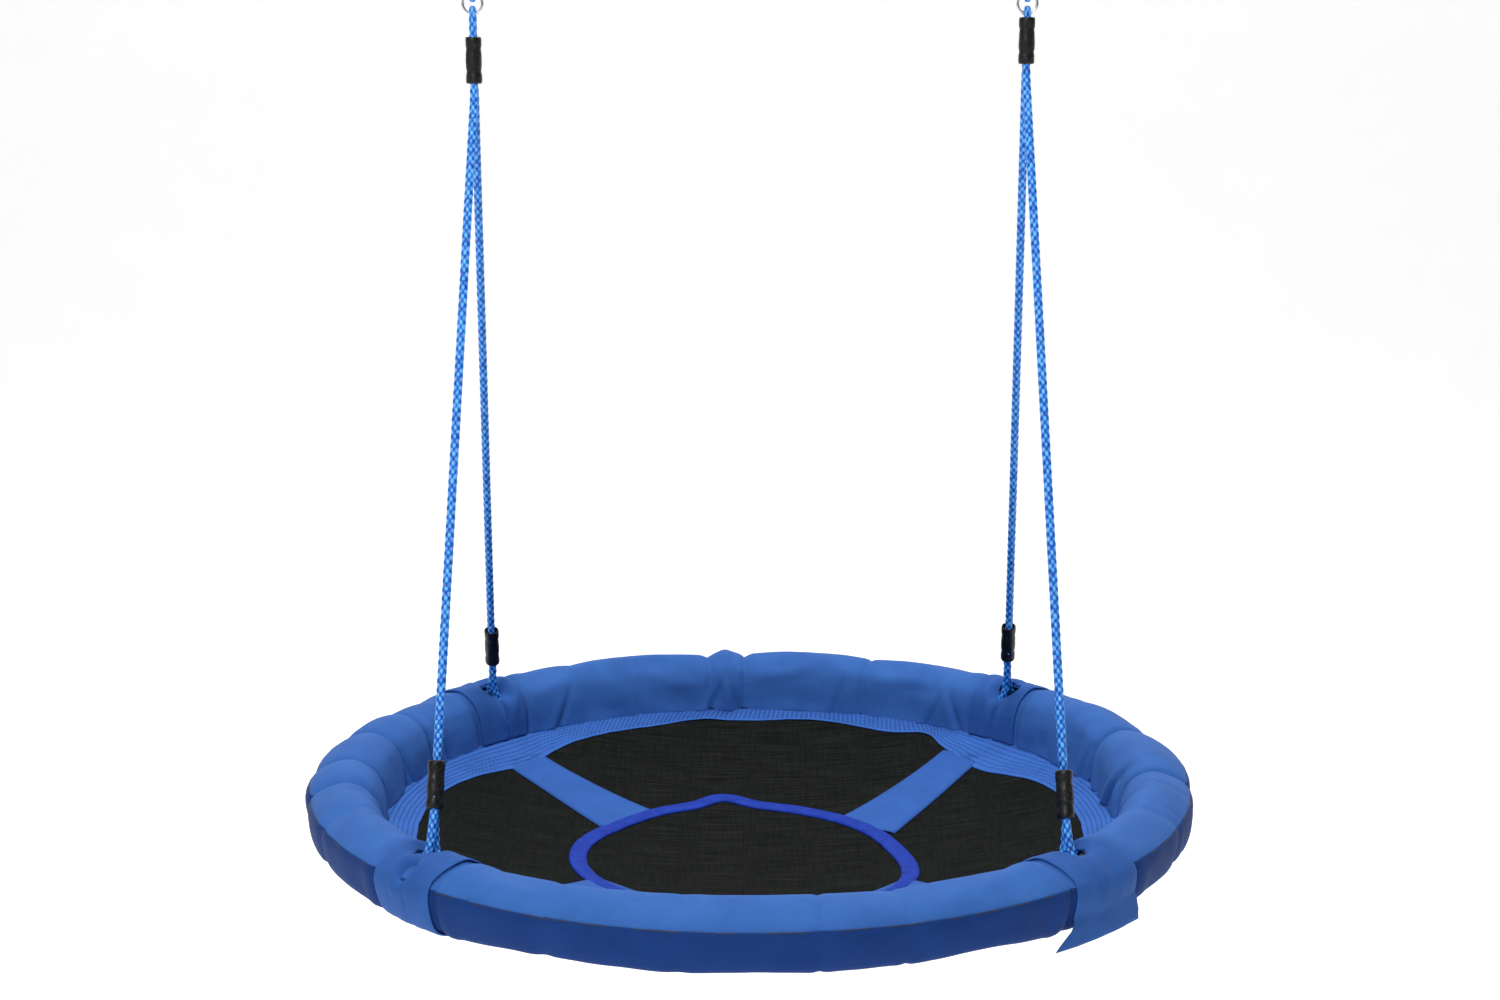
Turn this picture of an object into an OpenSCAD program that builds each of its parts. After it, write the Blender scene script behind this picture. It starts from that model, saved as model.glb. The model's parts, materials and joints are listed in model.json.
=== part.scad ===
// Saucer nest swing: a padded steel hoop with a dished fabric mat, hung by two
// rope slings from two small steel rings and two hanging eyes.
// Origin: on the swing's axis, midway between the hanging eyes. +X right, +Y back, +Z up.

/* [Hanging] */
// Distance from the middle to each hanging eye
eye_x = 300; // [280:5:320]
// Radius of the hole through each hanging eye
bore_r = 12.5; // [10:0.5:13]
// Height of the connecting rings' centres below the hanging eyes
ring_drop = 133; // [128:1:160]
// Height of the seam plane of the rim below the hanging eyes
rim_drop = 1000; // [900:10:1400]

/* [Rope] */
// Diameter of the rope
rope_d = 10; // [9:0.5:10]
// Outside diameter of the crimp sleeves
sleeve_d = 19; // [19:0.5:22]
// Length of the crimp sleeves
sleeve_l = 50; // [40:5:60]

/* [Rim] */
// Outside radius of the padded rim, at its seam
rim_r = 500; // [500:10:560]
// Outside diameter of the steel hoop's tube
tube_d = 25; // [22:1:25]
// Angle of the rope attachments above and below the X axis
attach_a = 44; // [40:1:50]

/* [Mat] */
// Radius of the mat inside its stitched border
mat_r = 380; // [370:5:385]
// How far the middle of the mat hangs below its edge
mat_sag = 45; // [20:5:60]
// Middle radius of the round tape on the mat
tape_r = 193; // [150:1:220]
// Width of the straps from the tape to the rim
web_w = 58; // [40:2:70]

/* [Hidden] */

LEFT = -1;
RIGHT = 1;
FRONT = -1;
BACK = 1;

// hanging eyes
thimble_w = 14;
thimble_flange = 9.5;
groove_r = bore_r + 8;
groove_gap = 0.4;

// connecting rings
wire_r = 1.6;
ring_r = 10.5;
ring_z = -ring_drop;
turn_r = 6;

// ropes
rope_r = rope_d / 2;
pinched_r = 4.1;
looped_r = 3.7;
hosed_r = 4.9;
strand = 4.2;
hanging_sleeve_z = -95;
top_sleeve_drop = [85, 64];
tail_short = 4;
// below a sleeve its two strands swell and part over the flare's length
flare = 8;
eye_parting = 1.2;
eye_flare_r = rope_r - 0.5;
turn_parting = 0.6;
turn_flare_r = rope_r - 0.3;

// crimp sleeves
sleeve_bore = 8.5;
sleeve_round = 1;

// steel hoop, in radius and height
rim_z = -rim_drop;
tube_r = tube_d / 2;
tube_wall = 1.2;
hoop_r = rim_r - 45;
tube_z = rim_z - 17;
swage_gap = 0.1;
swage_a = 6;
neck_a = 1;
swaged_r = tube_r - tube_wall - swage_gap;
screw_r = 2;
screw_head_r = 4;
screw_head_h = 2.4;
screw_l = 5.4;
screw_clear = 0.2;
screw_a = 3;

// lower eyes: how far up the rope each sleeve starts, front then back
hose_r = 6.5;
hose_bore = 5.1;
hose_turn = 190;
loop_r = 20.5;
left_sleeve_up = [75, 73];
right_sleeve_up = [65, 79];
attach_x = hoop_r * cos(attach_a);
attach_y = hoop_r * sin(attach_a);

// outline of the padded rim: from its inner foot over the crest to the seam, and on
// down the outer face and under it back to the foot, as [radius from rim_r, height]
over_top = [[-76, -46], [-78, -30], [-76, -12], [-68, 4], [-54, 14], [-40, 17], [-20, 12], [0, 0]];
round_side = [[0, 0], [0.5, -14], [-2, -30], [-9, -43], [-28, -49], [-52, -50], [-76, -46]];
cover_t = 2;
foam_inset = 3;
foam_gap_a = 2.8;
// the foam stops short of the foot, where the cover's edges meet
foam_from = 3;
foam_short = 5;
foam_bore = tube_r + 0.3;
screw_pocket_r = 5;
screw_pocket_h = 6;

// where a rope passes through the cover and its wrap, along the eye and across it
slot_l = 60;
slot_w = 34;
slot_h = 90;

// thin cloth lies this far from what is under it
lift = 0.1;

// mat
mat_edge_z = rim_z - 60;
mat_t = 2;
border_t = 3;
border_foot = [rim_r - 77, rim_z - 46.5];
tape_w = 21;
tape_t = 1.6;
web_t = 1.4;

// wraps: first and last angle of each from the X axis, and its places on the outline
wrap_back_right = [38, 48];
wrap_back_left = [132, 144];
wrap_front_left = [216, 232];
wrap_front_right = [307, 322];
wrap_t = 2;
wrap_gap = 0.4;
wrap_from = 1;
wrap_to = 40;
fastener_t = 0.25;
fastener_from = 33;
fastener_to = 38;
fastener_inset_a = 1;

function unit(v) = v / norm(v);
function spline_at(a, b, c, d, t) =
  (2 * b + (c - a) * t + (2 * a - 5 * b + 4 * c - d) * t * t + (3 * b - a - 3 * c + d) * t * t * t) / 2;
function spline(p, steps) = [
  for (i = [0 : len(p) - 2], k = [0 : steps - 1])
    spline_at(p[max(i - 1, 0)], p[i], p[i + 1], p[min(i + 2, len(p) - 1)], k / steps),
  p[len(p) - 1]
];
function inward(p, i) =
  let (d = unit(p[min(i + 1, len(p) - 1)] - p[max(i - 1, 0)])) [d[1], -d[0]];
function shifted(p, t) = [for (i = [0 : len(p) - 1]) p[i] + t * inward(p, i)];
function reversed(p) = [for (i = [len(p) - 1 : -1 : 0]) p[i]];
function part_of(p, first, last) = [for (i = [first : last]) p[i]];
function on_rim(p) = [for (q = p) [rim_r + q[0], rim_z + q[1]]];

top_line = on_rim(spline(over_top, 4));
side_line = on_rim(spline(round_side, 4));
whole_line = concat(top_line, part_of(side_line, 1, len(side_line) - 1));

function attach(side, end) = [side * attach_x, end * attach_y, tube_z];
function ring_at(side) = [side * eye_x, 0, ring_z];
// the frame of a lower eye: up the rope, outwards in the eye's plane, and across it
function up_rope(side, end) = unit(ring_at(side) - attach(side, end));
function out_rope(side, end) =
  let (d = up_rope(side, end), r = unit([side * attach_x, end * attach_y, 0]))
  unit(r - (r * d) * d);
function sleeve_up(side, end) =
  side == LEFT ? left_sleeve_up[(end + 1) / 2] : right_sleeve_up[(end + 1) / 2];
function tangent_a(q, h, r) = atan2(h, q) - acos(r / norm([q, h]));
function with_r(p, r) = [for (q = p) [q[0], q[1], q[2], r]];
function plane_arc(c, u, v, r, a, b, n) = [
  for (i = [0 : n]) let (t = a + (b - a) * i / n) c + r * (cos(t) * u + sin(t) * v)
];

// one lower eye, from its tail inside the sleeve to the top of that sleeve
function lower_eye(side, end) =
  let (
    c = attach(side, end), d = up_rope(side, end), e = out_rope(side, end),
    s = sleeve_up(side, end), a = tangent_a(strand, s, loop_r)
  )
  concat(
    with_r([
      c + (s + sleeve_l - tail_short) * d + strand * e,
      c + s * d + strand * e
    ], pinched_r),
    with_r([c + (s - flare) * d + (strand + eye_parting) * e], eye_flare_r),
    with_r(plane_arc(c, e, d, loop_r, a, -180 - a, 14), hosed_r),
    with_r([c + (s - flare) * d - (strand + eye_parting) * e], eye_flare_r),
    with_r([c + s * d - strand * e, c + (s + sleeve_l) * d - strand * e], pinched_r),
    with_r([c + (s + sleeve_l + flare) * d - strand * e], rope_r)
  );
// the turn over a connecting ring, from the top sleeve's foot on the front to the same on the back
function ring_turn(side) =
  let (
    c = ring_at(side), z1 = -top_sleeve_drop[(side + 1) / 2], z0 = z1 + sleeve_l,
    w = c - [0, 0, ring_r]
  )
  concat(
    with_r([c + [0, -strand - turn_parting, z1 - 2 * flare]], turn_flare_r),
    with_r([c + [0, -strand, z1], c + [0, -strand, z0]], pinched_r),
    with_r(plane_arc(w, [0, 1, 0], [0, 0, 1], turn_r, 180, 0, 8), looped_r),
    with_r([c + [0, strand, z0], c + [0, strand, z1]], pinched_r),
    with_r([c + [0, strand + turn_parting, z1 - 2 * flare]], turn_flare_r)
  );
function sling_route(side) = concat(
  lower_eye(side, FRONT), ring_turn(side), reversed(lower_eye(side, BACK))
);
// a hanging rope is an endless sling whose two ends meet inside its sleeve
function hanging_route(side) =
  let (
    c = [side * eye_x, 0, 0], y = [0, 1, 0], z = [0, 0, 1],
    z1 = hanging_sleeve_z, z0 = z1 + sleeve_l, a = tangent_a(strand, -z0, groove_r),
    w = ring_at(side) + [0, 0, ring_r], meet = (z0 + z1) / 2
  )
  concat(
    with_r([c + [0, strand, meet + 1], c + [0, strand, z0]], pinched_r),
    with_r(plane_arc(c, y, z, groove_r, -a, 180 + a, 16), rope_r),
    with_r([c + [0, -strand, z0], c + [0, -strand, z1]], pinched_r),
    with_r(plane_arc(w, y, z, turn_r, 180, 360, 8), looped_r),
    with_r([c + [0, strand, z1], c + [0, strand, meet - 1]], pinched_r)
  );

// a round tube along points [x, y, z, radius]
module tube_along(p, sides = 10) {
  n = len(p);
  function at(i) = [p[i][0], p[i][1], p[i][2]];
  function heading(i) = unit(at(min(i + 1, n - 1)) - at(max(i - 1, 0)));
  rings = [
    for (i = [0 : n - 1])
      let (t = heading(i), u = unit(cross(t, [1, 0, 0])), v = cross(t, u))
      for (k = [0 : sides - 1])
        at(i) + p[i][3] * (cos(360 * k / sides) * u + sin(360 * k / sides) * v)
  ];
  faces = concat(
    [[for (k = [0 : sides - 1]) k]],
    [for (i = [0 : n - 2], k = [0 : sides - 1]) let (m = (k + 1) % sides)
      [i * sides + k, (i + 1) * sides + k, i * sides + m]],
    [for (i = [0 : n - 2], k = [0 : sides - 1]) let (m = (k + 1) % sides)
      [i * sides + m, (i + 1) * sides + k, (i + 1) * sides + m]],
    [[for (k = [sides - 1 : -1 : 0]) (n - 1) * sides + k]]
  );
  polyhedron(rings, faces, convexity = 10);
}

module along(d, e) {
  n = cross(d, e);
  multmatrix([
    [e[0], n[0], d[0], 0],
    [e[1], n[1], d[1], 0],
    [e[2], n[2], d[2], 0],
    [0, 0, 0, 1]
  ]) children();
}

module strip(p, near, far) {
  polygon(concat(shifted(p, near), reversed(shifted(p, far))));
}

// --- hanging hardware ---

module thimble(side) {
  color("silver") translate([side * eye_x, 0, 0]) rotate([0, 90, 0])
    rotate_extrude($fn = 96) difference() {
      translate([bore_r, -thimble_w / 2]) square([thimble_flange, thimble_w]);
      translate([groove_r, 0]) circle(r = rope_r + groove_gap, $fn = 40);
      translate([groove_r, -rope_r - groove_gap]) square([rope_r, 2 * (rope_r + groove_gap)]);
    }
}

module ring(side) {
  color("silver") translate(ring_at(side)) rotate([90, 0, 0])
    rotate_extrude($fn = 72) translate([ring_r, 0]) circle(r = wire_r, $fn = 24);
}

module crimp_sleeve() {
  color("#17181a") rotate_extrude($fn = 48) difference() {
    translate([sleeve_bore, 0]) square([sleeve_d / 2 - sleeve_bore, sleeve_l]);
    for (z = [0, sleeve_l]) translate([sleeve_d / 2, z]) rotate(45)
      square(sleeve_round * sqrt(2) / 2, center = true);
  }
}

// --- ropes ---

module hanging_rope(side) {
  color("royalblue") tube_along(hanging_route(side));
}

module hanging_sleeve(side) {
  translate([side * eye_x, 0, hanging_sleeve_z]) crimp_sleeve();
}

module sling(side) {
  color("royalblue") tube_along(sling_route(side));
}

module top_sleeve(side) {
  translate(ring_at(side) - [0, 0, top_sleeve_drop[(side + 1) / 2]]) crimp_sleeve();
}

module lower_sleeve(side, end) {
  translate(attach(side, end)) along(up_rope(side, end), out_rope(side, end))
    translate([0, 0, sleeve_up(side, end)]) crimp_sleeve();
}

// a short hose keeps the rope from chafing on the hoop
module hose(side, end) {
  color("#101112") translate(attach(side, end)) along(up_rope(side, end), out_rope(side, end))
    rotate([-90, 0, 0]) rotate([0, 0, (180 - hose_turn) / 2])
      rotate_extrude(angle = hose_turn, $fn = 96)
      translate([loop_r, 0]) difference() {
        circle(r = hose_r, $fn = 32);
        circle(r = hose_bore, $fn = 32);
      }
}

// --- steel hoop, in four plug-together quarters ---

module hoop_arc(from, turn, outer, inner) {
  translate([0, 0, tube_z]) rotate([0, 0, from]) rotate_extrude(angle = turn, $fn = 180)
    translate([hoop_r, 0]) difference() {
      circle(r = outer, $fn = 48);
      circle(r = inner, $fn = 48);
    }
}

module screw_hole(at, r) {
  rotate([0, 0, at]) translate([hoop_r, 0, tube_z - 2 * tube_r])
    cylinder(r = r, h = 2 * tube_r, $fn = 24);
}

// a quarter runs from its own joint to the next, and its swaged end reaches back into the one before
module hoop_quarter(from) {
  color("#3a3d40") difference() {
    union() {
      hoop_arc(from, 90, tube_r, tube_r - tube_wall);
      hoop_arc(from - swage_a, swage_a + neck_a, swaged_r, swaged_r - tube_wall);
      hoop_arc(from, neck_a, tube_r, swaged_r - tube_wall);
    }
    for (a = [from - screw_a, from + 90 - screw_a]) screw_hole(a, screw_r + swage_gap);
  }
}

module tube_screws() {
  color("silver") for (a = [0 : 90 : 270]) rotate([0, 0, a - screw_a])
    translate([hoop_r, 0, tube_z - tube_r - screw_clear]) {
      cylinder(r = screw_r, h = screw_l, $fn = 24);
      translate([0, 0, -screw_head_h]) cylinder(r = screw_head_r, h = screw_head_h, $fn = 32);
    }
}

// --- padding and covers ---

// foam fills the cover between one rope and the next
module foam(from, to) {
  color("#9aa0a6") difference() {
    rotate([0, 0, from + foam_gap_a]) rotate_extrude(angle = to - from - 2 * foam_gap_a, $fn = 180)
      difference() {
        polygon(part_of(shifted(whole_line, foam_inset), foam_from, len(whole_line) - foam_short));
        translate([hoop_r, tube_z]) circle(r = foam_bore, $fn = 48);
      }
    for (a = [0 : 90 : 270]) rotate([0, 0, a - screw_a])
      translate([hoop_r, 0, tube_z - tube_r - screw_pocket_h + 1])
        cylinder(r = screw_pocket_r, h = screw_pocket_h + 2, $fn = 32);
  }
}

// the way that a rope takes up through the cover and its wrap
module rope_slot(side, end, room = 0) {
  translate(attach(side, end)) along(up_rope(side, end), out_rope(side, end))
    translate([-slot_l / 2 - room, -slot_w / 2 - room, 0])
      cube([slot_l + 2 * room, slot_w + 2 * room, slot_h]);
}

module cover_top() {
  color("#2f62c4") difference() {
    rotate_extrude($fn = 180) strip(top_line, 0, cover_t);
    for (side = [LEFT, RIGHT], end = [FRONT, BACK]) rope_slot(side, end);
  }
}

module cover_side() {
  color("#1f4a9c") rotate_extrude($fn = 180) strip(side_line, 0, cover_t);
}

// a wrap goes over the rim at a rope, from its inner face to under its outer edge
module wrap(side, end, angles) {
  color("#2c5bb8") difference() {
    rotate([0, 0, angles[0]]) rotate_extrude(angle = angles[1] - angles[0], $fn = 180)
      strip(part_of(whole_line, wrap_from, wrap_to), -wrap_gap - wrap_t, -wrap_gap);
    rope_slot(side, end, 1);
  }
}

// hook-and-loop tape between each wrap's end and the cover
module wrap_fasteners() {
  color("#101112")
    for (angles = [wrap_back_right, wrap_back_left, wrap_front_left, wrap_front_right])
      rotate([0, 0, angles[0] + fastener_inset_a])
        rotate_extrude(angle = angles[1] - angles[0] - 2 * fastener_inset_a, $fn = 180)
          strip(part_of(whole_line, fastener_from, fastener_to), -lift - fastener_t, -lift);
}

// --- mat ---

function dish_z(r) = mat_edge_z - mat_sag * (1 - (r / mat_r) ^ 2);
function dish(from, to, up, n = 10) = [
  for (i = [0 : n]) let (r = from + (to - from) * i / n) [r, dish_z(r) + up]
];

module dish_layer(from, to, low, high) {
  rotate_extrude($fn = 180)
    polygon(concat(dish(from, to, low), reversed(dish(from, to, high))));
}

module mat() {
  color("#202322") dish_layer(0, mat_r, -mat_t, 0);
}

module mat_border() {
  color("#3467c8") rotate_extrude($fn = 180) polygon([
    [mat_r, mat_edge_z - mat_t], [mat_r, mat_edge_z + border_t - mat_t],
    border_foot, border_foot - [0, border_t]
  ]);
}

module mat_tape() {
  color("#2b43c4") dish_layer(tape_r - tape_w / 2, tape_r + tape_w / 2, lift, lift + tape_t);
}

module web(at) {
  color("#3467c8") intersection() {
    dish_layer(tape_r + tape_w / 2 + lift, mat_r - lift, lift, lift + web_t);
    rotate([0, 0, at]) translate([0, -web_w / 2, mat_edge_z - 2 * mat_sag])
      cube([mat_r, web_w, 3 * mat_sag]);
  }
}

thimble(LEFT);  // left_thimble
thimble(RIGHT);  // right_thimble
hanging_rope(LEFT);  // left_hanging_rope
hanging_rope(RIGHT);  // right_hanging_rope
hanging_sleeve(LEFT);  // left_hanging_sleeve
hanging_sleeve(RIGHT);  // right_hanging_sleeve
ring(LEFT);  // left_ring
ring(RIGHT);  // right_ring
sling(LEFT);  // left_rope
sling(RIGHT);  // right_rope
top_sleeve(LEFT);  // left_top_sleeve
top_sleeve(RIGHT);  // right_top_sleeve
lower_sleeve(LEFT, FRONT);  // left_front_sleeve
lower_sleeve(LEFT, BACK);  // left_back_sleeve
lower_sleeve(RIGHT, FRONT);  // right_front_sleeve
lower_sleeve(RIGHT, BACK);  // right_back_sleeve
hose(LEFT, FRONT);  // left_front_hose
hose(LEFT, BACK);  // left_back_hose
hose(RIGHT, FRONT);  // right_front_hose
hose(RIGHT, BACK);  // right_back_hose
hoop_quarter(0);  // tube_right
hoop_quarter(90);  // tube_back
hoop_quarter(180);  // tube_left
hoop_quarter(270);  // tube_front
tube_screws();
foam(-attach_a, attach_a);  // foam_right
foam(attach_a, 180 - attach_a);  // foam_back
foam(180 - attach_a, 180 + attach_a);  // foam_left
foam(180 + attach_a, 360 - attach_a);  // foam_front
cover_top();
cover_side();
mat_border();
mat();
mat_tape();
web(attach_a);  // web_back_right
web(180 - attach_a);  // web_back_left
web(180 + attach_a);  // web_front_left
web(-attach_a);  // web_front_right
wrap(RIGHT, BACK, wrap_back_right);
wrap(LEFT, BACK, wrap_back_left);
wrap(LEFT, FRONT, wrap_front_left);
wrap(RIGHT, FRONT, wrap_front_right);
wrap_fasteners();
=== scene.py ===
"""Looks for the saucer nest swing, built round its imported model. Metres, in the row frame."""
import json
import math

import bpy
import numpy as np
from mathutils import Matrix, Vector, noise


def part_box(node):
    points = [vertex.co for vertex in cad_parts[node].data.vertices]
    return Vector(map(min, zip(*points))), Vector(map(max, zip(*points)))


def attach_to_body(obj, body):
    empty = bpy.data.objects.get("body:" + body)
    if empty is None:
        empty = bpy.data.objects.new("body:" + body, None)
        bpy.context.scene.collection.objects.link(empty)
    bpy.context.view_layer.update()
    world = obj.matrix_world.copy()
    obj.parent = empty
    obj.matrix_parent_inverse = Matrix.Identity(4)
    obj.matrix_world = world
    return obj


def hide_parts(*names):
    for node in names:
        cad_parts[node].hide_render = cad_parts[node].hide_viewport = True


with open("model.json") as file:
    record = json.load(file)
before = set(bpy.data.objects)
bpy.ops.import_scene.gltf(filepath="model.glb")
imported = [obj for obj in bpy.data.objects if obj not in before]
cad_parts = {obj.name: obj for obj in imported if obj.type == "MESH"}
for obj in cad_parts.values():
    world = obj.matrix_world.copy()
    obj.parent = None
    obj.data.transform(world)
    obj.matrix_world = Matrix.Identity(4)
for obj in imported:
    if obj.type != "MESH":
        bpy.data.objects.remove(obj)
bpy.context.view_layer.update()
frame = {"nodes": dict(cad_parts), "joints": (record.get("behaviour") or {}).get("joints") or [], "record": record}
MM = 0.001
LEFT, RIGHT, FRONT, BACK = -1, 1, -1, 1
SIDE_NAMES = {LEFT: "left", RIGHT: "right"}
END_NAMES = {FRONT: "front", BACK: "back"}


# ---------------------------------------------------------------- places, from the frame

def middle(node):
    low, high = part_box(node)
    return (low + high) / 2


def joint_place(name):
    return Vector(next(j for j in frame["joints"] if j["name"] == name)["pos_m"])


RIM_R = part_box("cover_top")[1].x
SEAM_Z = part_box("cover_side")[1].z
EYE_X = middle("right_thimble").x
RING_Z = middle("right_ring").z
TUBE_R = (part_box("tube_right")[1].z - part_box("tube_right")[0].z) / 2
HOOP_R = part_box("tube_right")[1].x - TUBE_R
TUBE_Z = joint_place("sway_left").z
ATTACH_X = joint_place("sway_right").x
ATTACH_Y = math.sqrt(HOOP_R ** 2 - ATTACH_X ** 2)
ATTACH_A = math.degrees(math.atan2(ATTACH_Y, ATTACH_X))
ROPE_ANGLES = {(RIGHT, BACK): ATTACH_A, (LEFT, BACK): 180 - ATTACH_A,
               (LEFT, FRONT): 180 + ATTACH_A, (RIGHT, FRONT): 360 - ATTACH_A}

# ---------------------------------------------------------------- camera, floor and light

CAMERA_BACK = 2.713
CAMERA_UP = 0.867
CAMERA_TILT = 0.199
CAMERA_LENS = 59.04
FLOOR_DROP = 0.62


def make_camera():
    data = bpy.data.cameras.new("camera")
    data.lens = CAMERA_LENS
    data.sensor_width = 36
    data.clip_end = 60
    camera = bpy.data.objects.new("camera", data)
    bpy.context.scene.collection.objects.link(camera)
    camera.location = (0, -CAMERA_BACK, SEAM_Z + CAMERA_UP)
    camera.rotation_euler = (math.pi / 2 - CAMERA_TILT, 0, 0)
    bpy.context.scene.camera = camera


def area_light(name, place, target, size, power):
    data = bpy.data.lights.new(name, "AREA")
    data.energy = power
    data.size = size
    light = bpy.data.objects.new(name, data)
    bpy.context.scene.collection.objects.link(light)
    light.location = place
    light.rotation_euler = (Vector(target) - Vector(place)).to_track_quat("-Z", "Y").to_euler()


def make_light():
    world = bpy.data.worlds.new("studio")
    world.use_nodes = True
    back = world.node_tree.nodes["Background"]
    back.inputs["Color"].default_value = (1, 1, 1, 1)
    back.inputs["Strength"].default_value = 0.22
    bpy.context.scene.world = world
    rim = (0, 0, SEAM_Z)
    area_light("key", (0.2, 0.5, 1.9), rim, 1.7, 72)
    area_light("front", (-0.9, -2.9, 1.4), rim, 1.5, 66)
    area_light("fill", (-2.6, -1.8, 0.3), rim, 1.4, 5)
    bpy.context.scene.view_settings.view_transform = "Standard"


# ---------------------------------------------------------------- mesh helpers

def link(name, data):
    piece = bpy.data.objects.new(name, data)
    bpy.context.scene.collection.objects.link(piece)
    return piece


def mesh_from(name, points, faces, uvs=None, material=None, smooth=True):
    """A piece from an (n, 3) array of points and a list or array of faces, with one UV pair a point."""
    data = bpy.data.meshes.new(name)
    data.from_pydata([tuple(p) for p in points], [], [tuple(f) for f in faces])
    if uvs is not None:
        layer = data.uv_layers.new(name="metres")
        index = np.empty(len(data.loops), np.int32)
        data.loops.foreach_get("vertex_index", index)
        layer.data.foreach_set("uv", np.asarray(uvs, np.float32)[index].ravel())
    data.polygons.foreach_set("use_smooth", [smooth] * len(data.polygons))
    if material:
        data.materials.append(material)
    data.validate()
    return link(name, data)


def grid_faces(rows, columns, wrap_rows=False, wrap_columns=False, keep=None):
    """Quads of a grid of points stored row by row. keep[row, column] leaves the others out."""
    faces = []
    for i in range(rows if wrap_rows else rows - 1):
        for j in range(columns if wrap_columns else columns - 1):
            if keep is not None and not keep[i, j]:
                continue
            a, b = (i + 1) % rows, (j + 1) % columns
            faces.append((i * columns + j, i * columns + b, a * columns + b, a * columns + j))
    return faces


def thicken(piece, thickness, offset=-1.0):
    solid = piece.modifiers.new("thickness", "SOLIDIFY")
    solid.thickness = thickness
    solid.offset = offset
    solid.use_rim = True
    return piece


def spline(points, steps):
    """A Catmull-Rom curve through points of any size."""
    p = np.asarray(points, float)
    out = []
    for i in range(len(p) - 1):
        a, b, c, d = p[max(i - 1, 0)], p[i], p[i + 1], p[min(i + 2, len(p) - 1)]
        for k in range(steps):
            t = k / steps
            out.append((2 * b + (c - a) * t + (2 * a - 5 * b + 4 * c - d) * t * t
                        + (3 * b - a - 3 * c + d) * t ** 3) / 2)
    out.append(p[-1])
    return np.array(out)


def resampled(points, step):
    """Points a step apart along a line, with everything in their columns interpolated."""
    p = np.asarray(points, float)
    lengths = np.r_[0, np.cumsum(np.linalg.norm(np.diff(p[:, :3], axis=0), axis=1))]
    keep = np.r_[True, np.diff(lengths) > 1e-9]
    count = max(2, int(round(lengths[-1] / step)) + 1)
    at = np.linspace(0, lengths[-1], count)
    return np.stack([np.interp(at, lengths[keep], p[keep, k]) for k in range(p.shape[1])], 1)


def smoothed(points, window):
    """A moving average that leaves the two ends where they are."""
    p = np.asarray(points, float)
    for _ in range(2):
        padded = np.r_[np.repeat(p[:1], window, 0), p, np.repeat(p[-1:], window, 0)]
        kernel = np.ones(2 * window + 1) / (2 * window + 1)
        p = np.stack([np.convolve(padded[:, k], kernel, "valid") for k in range(p.shape[1])], 1)
    return p


def unit(v):
    return v / np.linalg.norm(v)


def fbm(x, y, z, size, seed, octaves=3):
    """Noise from -1 to 1 at arrays of points, its largest feature about size across."""
    flat = np.stack(np.broadcast_arrays(x, y, z), -1).reshape(-1, 3) / size + seed * 7.31
    values = [noise.fractal(Vector(p), 1.0, 2.0, octaves) for p in flat]
    return np.array(values).reshape(np.broadcast(x, y, z).shape)


# ---------------------------------------------------------------- materials

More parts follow.
